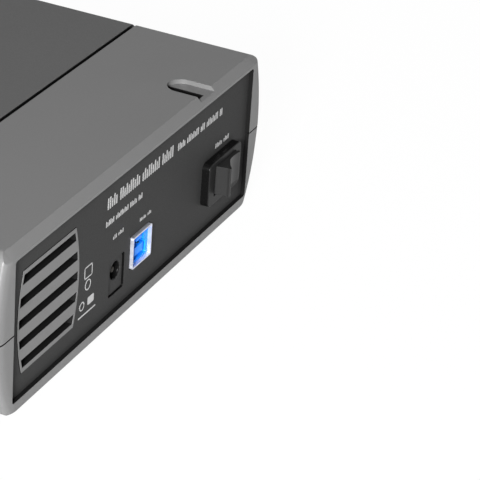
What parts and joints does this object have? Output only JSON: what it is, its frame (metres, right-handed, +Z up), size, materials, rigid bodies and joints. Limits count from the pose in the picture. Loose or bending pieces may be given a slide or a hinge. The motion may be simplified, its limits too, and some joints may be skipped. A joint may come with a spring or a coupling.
{
  "type": "external drive enclosure",
  "caption": "Desktop enclosure for a 5.25 inch drive: half shells, dark top panel, rear sockets, rocker switch, louvred vent with fan, and a sheet metal tray behind an open front.",
  "frame": {"origin": "centre of the bounding box's base, on the surface that the feet stand on", "axes": "+Z up, +Y out of the rear with the sockets, -Y out of the open front, +X towards the side with the vent"},
  "size_m": [0.17, 0.246, 0.0556],
  "materials": {
    "shell_grey": "metallic grey paint on moulded ABS, fine satin",
    "inlay_dark": "dark grey textured ABS",
    "panel_black": "charcoal moulded ABS, fine grain",
    "grille_grey": "grey paint on moulded ABS",
    "bezel_dark": "charcoal moulded ABS",
    "light_pipe": "clear acrylic",
    "board_green": "glass-epoxy board with green solder mask",
    "chip_black": "black moulded epoxy",
    "capacitor_can": "bare drawn aluminium",
    "inductor_grey": "pressed ferrite",
    "tray_steel": "zinc plated sheet steel",
    "socket_black": "black moulded nylon",
    "socket_shell": "nickel plated steel",
    "socket_blue": "blue moulded nylon",
    "contact_gold": "gold flashed copper alloy",
    "switch_black": "black moulded nylon",
    "rocker_black": "black moulded nylon, satin",
    "terminal_brass": "tinned brass",
    "fan_black": "black glass-filled plastic",
    "bearing_bronze": "sintered bronze",
    "shaft_steel": "ground steel",
    "foot_rubber": "black rubber",
    "screw_steel": "zinc plated steel"
  },
  "bodies": {
    "enclosure": {"top_cover": "shell_grey", "top_inlay": "inlay_dark", "bottom_cover": "shell_grey", "rear_panel": "panel_black", "vent_grille": "grille_grey", "front_bezel": "bezel_dark", "indicator_lens": "light_pipe", "led_board": "board_green", "drive_tray": "tray_steel", "bridge_board": "board_green", "bridge_chip": "chip_black", "board_chips": "chip_black", "board_capacitors": "capacitor_can", "board_inductors": "inductor_grey", "dc_socket_body": "socket_black", "dc_socket_pin": "socket_shell", "usb_socket_shell": "socket_shell", "usb_socket_insert": "socket_blue", "usb_contacts": "contact_gold", "switch_housing": "switch_black", "switch_terminals": "terminal_brass", "sata_socket": "socket_black", "sata_contacts": "contact_gold", "fan_frame": "fan_black", "fan_bearing": "bearing_bronze", "rubber_feet": "foot_rubber", "case_screws": "screw_steel", "tray_screws": "screw_steel", "board_screws": "screw_steel"},
    "switch_rocker": {"switch_rocker": "rocker_black"},
    "fan_rotor": {"fan_rotor": "fan_black", "fan_shaft": "shaft_steel"}
  },
  "joints": [
    {"name": "power_rocker_tilt", "type": "hinge", "parent": "enclosure", "child": "switch_rocker", "pos_m": [-0.0562, 0.11651, 0.0231], "axis": [0, 0, -1], "range_deg": [0, 28]},
    {"name": "fan_spin", "type": "hinge", "parent": "enclosure", "child": "fan_rotor", "pos_m": [0.0542, 0.10716, 0.029], "axis": [0, 1, 0], "continuous": true}
  ]
}
